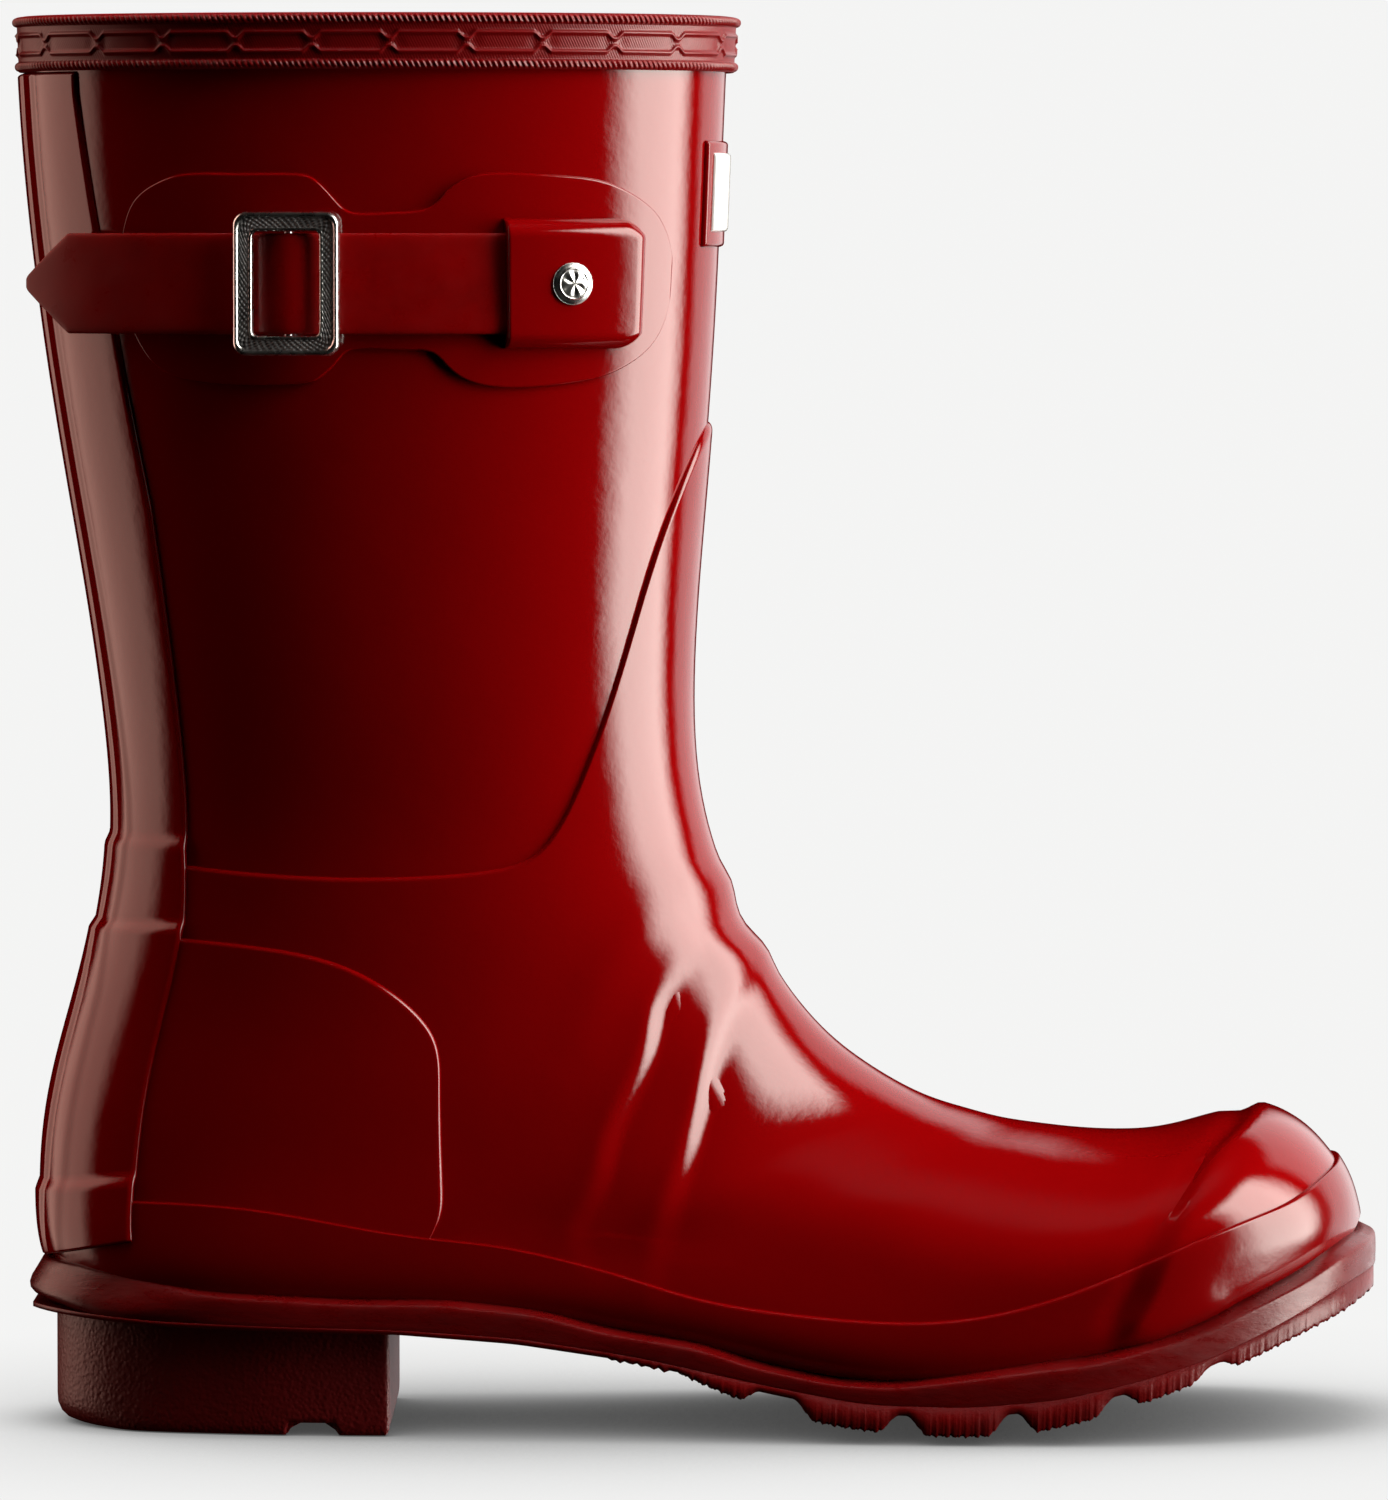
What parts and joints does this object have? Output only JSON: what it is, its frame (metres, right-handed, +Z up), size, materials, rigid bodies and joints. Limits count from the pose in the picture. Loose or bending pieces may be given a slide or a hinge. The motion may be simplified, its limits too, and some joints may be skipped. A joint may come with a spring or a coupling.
{
  "type": "rubber rain boot",
  "caption": "Right-foot mid-calf rubber rain boot with a low block heel, lugged sole, side strap and buckle, and a removable footbed.",
  "frame": {"origin": "on the ground under the middle of the boot's bounding box", "axes": "+Z up, +X towards the toe, -Y towards the outer side of the foot where the buckle is"},
  "size_m": [0.2771, 0.1084, 0.2856],
  "materials": {
    "gloss_rubber": "high gloss lacquered rubber",
    "strap_rubber": "high gloss lacquered rubber",
    "sidewall_rubber": "satin rubber",
    "sole_rubber": "matt textured rubber",
    "heel_rubber": "matt leather-grain rubber",
    "lining_textile": "knitted textile",
    "footbed_textile": "knitted textile",
    "footbed_foam": "foam",
    "stiffener_board": "fibre board",
    "steel": "plain steel",
    "buckle_metal": "polished rim, dark engraved face",
    "chrome": "polished",
    "label_white": "gloss, blank"
  },
  "bodies": {
    "boot": {"leg_shell": "gloss_rubber", "lining": "lining_textile", "vamp_overlay": "gloss_rubber", "heel_counter": "gloss_rubber", "back_strip": "gloss_rubber", "foxing_band": "gloss_rubber", "top_binding": "gloss_rubber", "toe_puff": "stiffener_board", "heel_stiffener": "stiffener_board", "sidewall_band": "sidewall_rubber", "outsole": "sole_rubber", "heel_block": "heel_rubber", "sole_filler": "stiffener_board", "steel_shank": "steel", "insole_board": "stiffener_board", "strap_patch": "gloss_rubber", "strap_pocket": "gloss_rubber", "strap": "strap_rubber", "buckle_loop": "steel", "strap_rivet_cap": "chrome", "strap_rivet_shank": "steel", "strap_rivet_washer": "steel", "loop_rivet": "steel", "loop_rivet_washer": "steel", "label_base": "gloss_rubber", "label_insert": "label_white"},
    "buckle": {"buckle_frame": "buckle_metal", "buckle_bar": "steel"},
    "strap_free_end": {"strap_tail": "strap_rubber"},
    "footbed_unit": {"footbed": "footbed_foam", "footbed_cover": "footbed_textile"}
  },
  "joints": [
    {"name": "buckle_pivot", "type": "hinge", "parent": "boot", "child": "buckle", "pos_m": [-0.08032, -0.04887, 0.231], "axis": [0, 0, 1], "range_deg": [-3, 3]},
    {"name": "strap_end_flex", "type": "hinge", "parent": "boot", "child": "strap_free_end", "pos_m": [-0.09287, -0.04733, 0.231], "axis": [0, 0, 1], "range_deg": [0, 60], "stiffness_Nm_per_rad": 0.01},
    {"name": "footbed_lift", "type": "slide", "parent": "boot", "child": "footbed_unit", "axis": [0, 0, 1], "range_m": [0, 0.01]}
  ]
}
